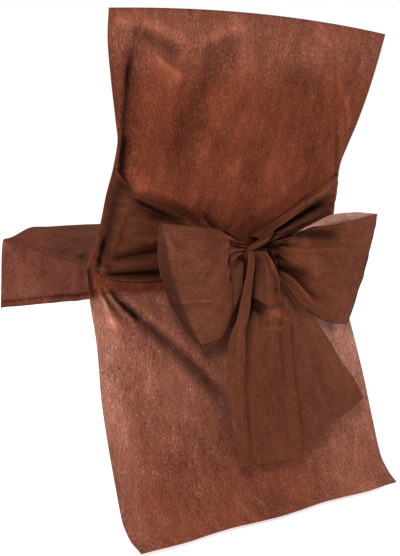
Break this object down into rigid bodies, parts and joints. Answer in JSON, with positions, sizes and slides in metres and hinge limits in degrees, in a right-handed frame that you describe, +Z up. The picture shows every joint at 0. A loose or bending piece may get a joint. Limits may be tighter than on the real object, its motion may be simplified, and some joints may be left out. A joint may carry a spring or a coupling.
{
  "type": "chair cover with sash",
  "caption": "Sheer fitted chair cover: a pocket over the back, a seat panel with a front flap, a long back skirt, and a wide sash tied in a bow behind.",
  "frame": {"origin": "middle of the underside of the pocket's top seam, where the chair's top rail carries the cover", "axes": "+Z up, +Y out behind the chair, +X towards the sitter's left"},
  "size_m": [0.5887, 0.6013, 0.8289],
  "materials": {
    "panel_cloth": "matte sheer non-woven",
    "sash_cloth": "matte non-woven, folded double"
  },
  "bodies": {
    "root": {"front_panel": "panel_cloth", "back_panel": "panel_cloth", "sash_left": "sash_cloth", "sash_right": "sash_cloth", "knot": "sash_cloth", "loop_left": "sash_cloth", "loop_right": "sash_cloth", "tail_front": "sash_cloth", "tail_back": "sash_cloth"}
  },
  "joints": []
}
